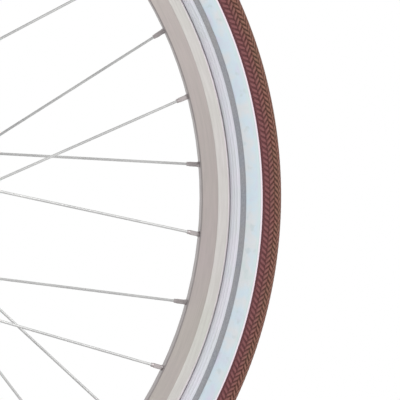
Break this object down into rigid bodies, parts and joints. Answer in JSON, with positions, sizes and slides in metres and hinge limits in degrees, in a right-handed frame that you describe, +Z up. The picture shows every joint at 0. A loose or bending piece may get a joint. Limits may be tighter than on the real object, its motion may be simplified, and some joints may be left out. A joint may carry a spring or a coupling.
{
  "type": "bicycle tire on spoked wheel",
  "caption": "Spoked front wheel with a herringbone-tread tyre, pale sidewalls with a reflective band, a box-section rim and a cup-and-cone hub.",
  "frame": {"origin": "centre of the wheel, on the axle's axis and midway between the locknuts", "axes": "+Y along the axle to the wheel's left side, +X forward, +Z up, with the valve at the bottom"},
  "size_m": [0.7129, 0.111, 0.713],
  "materials": {
    "tread": "matte reddish-brown rubber",
    "sidewall": "matte bluish-white rubber",
    "reflective": "retroreflective film, grey in daylight",
    "belt": "matte",
    "cord_fabric": "rubberised cord",
    "chafer_fabric": "woven strip",
    "butyl": "smooth",
    "tape": "smooth",
    "rim_metal": "brushed and anodised",
    "hub_metal": "polished",
    "axle_steel": "oiled steel",
    "bearing_steel": "ground",
    "ball_steel": "polished",
    "plated_steel": "zinc plated",
    "spring_steel": "drawn wire",
    "spoke_wire": "stainless wire",
    "nipple_plate": "nickel plated",
    "valve_brass": "nickel plated",
    "cap_plastic": "moulded"
  },
  "bodies": {
    "axle_set": {"axle": "axle_steel", "cone_left": "bearing_steel", "lock_washer_left": "plated_steel", "locknut_left": "plated_steel", "cone_right": "bearing_steel", "lock_washer_right": "plated_steel", "locknut_right": "plated_steel"},
    "wheel": {"hub_shell": "hub_metal", "rim": "rim_metal", "rim_joint_sleeve": "rim_metal", "rim_tape": "tape", "casing": "cord_fabric", "puncture_belt": "belt", "tyre_tread": "tread", "inner_tube": "butyl", "valve_stem": "valve_brass", "valve_core": "valve_brass", "sidewall_left": "sidewall", "reflective_band_left": "reflective", "chafer_left": "chafer_fabric", "bead_wire_left": "spring_steel", "bearing_cup_left": "bearing_steel", "dust_cap_left": "plated_steel", "spokes_left_leading": "spoke_wire", "nipples_left_leading": "nipple_plate", "spokes_left_trailing": "spoke_wire", "nipples_left_trailing": "nipple_plate", "sidewall_right": "sidewall", "reflective_band_right": "reflective", "chafer_right": "chafer_fabric", "bead_wire_right": "spring_steel", "bearing_cup_right": "bearing_steel", "dust_cap_right": "plated_steel", "spokes_right_leading": "spoke_wire", "nipples_right_leading": "nipple_plate", "spokes_right_trailing": "spoke_wire", "nipples_right_trailing": "nipple_plate"},
    "ball_ring_left": {"balls_left": "ball_steel", "ball_retainer_left": "spring_steel"},
    "ball_ring_right": {"balls_right": "ball_steel", "ball_retainer_right": "spring_steel"},
    "valve_plunger": {"valve_pin": "valve_brass", "valve_spring": "spring_steel"},
    "valve_cap": {"valve_cap": "cap_plastic"},
    "valve_nut": {"valve_nut": "valve_brass"}
  },
  "joints": [
    {"name": "wheel_spin", "type": "hinge", "parent": "axle_set", "child": "wheel", "pos_m": [0, 0, 0], "axis": [0, 1, 0], "continuous": true},
    {"name": "ball_ring_left_orbit", "type": "hinge", "parent": "axle_set", "child": "ball_ring_left", "pos_m": [0, 0.037, 0], "axis": [0, 1, 0], "continuous": true},
    {"name": "ball_ring_right_orbit", "type": "hinge", "parent": "axle_set", "child": "ball_ring_right", "pos_m": [0, -0.037, 0], "axis": [0, 1, 0], "continuous": true},
    {"name": "valve_pin_press", "type": "slide", "parent": "wheel", "child": "valve_plunger", "axis": [0, 0, -1], "range_m": [0, 0.0012], "stiffness_N_per_m": 1500, "springref_m": -0.002, "deforming": ["valve_spring"]},
    {"name": "valve_cap_unscrew", "type": "slide", "parent": "wheel", "child": "valve_cap", "axis": [0, 0, 1], "range_m": [0, 0.012]},
    {"name": "valve_nut_unscrew", "type": "slide", "parent": "wheel", "child": "valve_nut", "axis": [0, 0, 1], "range_m": [0, 0.013]}
  ],
  "couplings": [
    {"joint": "ball_ring_left_orbit", "follows": "wheel_spin", "ratio": 0.5825},
    {"joint": "ball_ring_right_orbit", "follows": "wheel_spin", "ratio": 0.5825}
  ]
}
